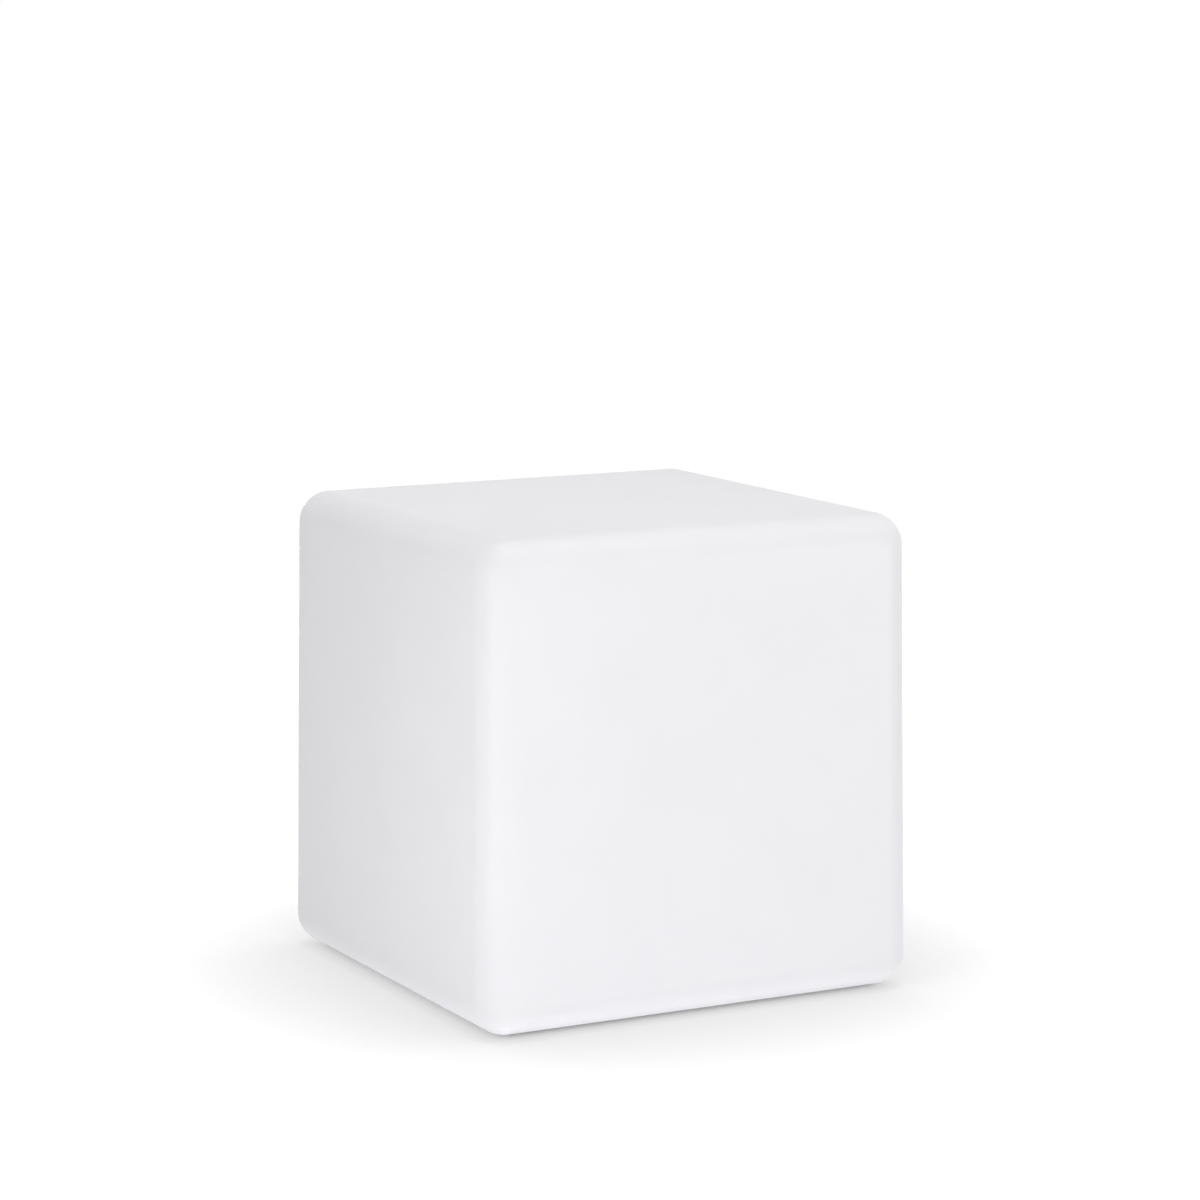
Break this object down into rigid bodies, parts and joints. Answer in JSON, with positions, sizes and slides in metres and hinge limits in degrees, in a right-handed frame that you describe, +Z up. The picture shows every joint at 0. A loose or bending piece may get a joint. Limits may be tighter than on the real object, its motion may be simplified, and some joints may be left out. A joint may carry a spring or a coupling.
{
  "type": "garden cube light",
  "caption": "Cordless garden light: a round-edged translucent cube shell with a sealed rechargeable light unit screwed into its underside, push buttons and a hinged charging door.",
  "frame": {"origin": "on the floor, under the middle of the cube", "axes": "+Z up, -Y is the wide face in the picture, -X is the narrow face to its left"},
  "size_m": [0.4, 0.4, 0.402],
  "materials": {
    "shell_plastic": "matt moulded polyethylene",
    "housing_plastic": "fine moulded texture",
    "button_plastic": "satin",
    "foot_rubber": "matt",
    "seal_rubber": "matt",
    "insert_brass": "turned",
    "screw_steel": "satin stainless",
    "lamp_lens_plastic": "clear light pipe",
    "lamp_chip": "phosphor",
    "vent_plastic": "satin",
    "membrane": "fine membrane",
    "board_green": "solder mask",
    "switch_plastic": "satin",
    "plunger_plastic": "satin",
    "socket_steel": "nickel plated",
    "coil_ferrite": "ferrite",
    "capacitor_sleeve": "sleeve",
    "header_plastic": "moulded nylon",
    "cell_wrap": "shrink sleeve",
    "wire_red": "PVC insulation",
    "wire_black": "PVC insulation",
    "ribbon_grey": "PVC insulation",
    "plate_aluminium": "milled",
    "board_white": "white solder mask",
    "cover_plastic": "frosted polycarbonate"
  },
  "bodies": {
    "base": {"diffuser_shell": "shell_plastic", "foot_front_left": "foot_rubber", "foot_front_right": "foot_rubber", "foot_rear_left": "foot_rubber", "foot_rear_right": "foot_rubber", "shell_inserts": "insert_brass", "housing_gasket": "seal_rubber", "base_housing": "housing_plastic", "housing_screws": "screw_steel", "charging_door_pin": "screw_steel", "charge_lamp_lens": "lamp_lens_plastic", "charge_lamp_chip": "lamp_chip", "pressure_vent": "vent_plastic", "pressure_vent_nut": "vent_plastic", "vent_membrane": "membrane", "control_board": "board_green", "control_board_screws": "screw_steel", "power_switch": "switch_plastic", "mode_switch": "switch_plastic", "charging_socket": "socket_steel", "charging_socket_tongue": "switch_plastic", "control_chips": "switch_plastic", "power_coil": "coil_ferrite", "capacitors": "capacitor_sleeve", "board_headers": "header_plastic", "battery_holder": "switch_plastic", "battery_holder_screws": "screw_steel", "battery_cell_front": "cell_wrap", "battery_cell_rear": "cell_wrap", "battery_links": "socket_steel", "battery_guard_board": "board_green", "battery_clamp": "socket_steel", "battery_clamp_screws": "screw_steel", "battery_lead_positive": "wire_red", "battery_lead_negative": "wire_black", "battery_plug": "header_plastic", "light_plate": "plate_aluminium", "light_plate_screws": "screw_steel", "light_board": "board_white", "light_board_screws": "screw_steel", "light_chips": "lamp_chip", "light_board_header": "header_plastic", "remote_receiver": "switch_plastic", "ribbon_grommet": "seal_rubber", "light_ribbon": "ribbon_grey", "light_ribbon_plugs": "header_plastic", "light_cover": "cover_plastic", "light_cover_seal": "seal_rubber", "light_cover_screws": "screw_steel"},
    "power_button": {"power_button": "button_plastic", "power_button_seal": "seal_rubber", "power_switch_plunger": "plunger_plastic"},
    "mode_button": {"mode_button": "button_plastic", "mode_button_seal": "seal_rubber", "mode_switch_plunger": "plunger_plastic"},
    "charging_door": {"charging_door": "housing_plastic", "charging_door_seal": "seal_rubber"}
  },
  "joints": [
    {"name": "power_press", "type": "slide", "parent": "base", "child": "power_button", "axis": [0, 0, 1], "range_m": [0, 0.0012], "stiffness_N_per_m": 1500},
    {"name": "mode_press", "type": "slide", "parent": "base", "child": "mode_button", "axis": [0, 0, 1], "range_m": [0, 0.0012], "stiffness_N_per_m": 1500},
    {"name": "charging_door_hinge", "type": "hinge", "parent": "base", "child": "charging_door", "pos_m": [0, -0.024, 0.0052], "axis": [-1, 0, 0], "range_deg": [0, 165]}
  ]
}
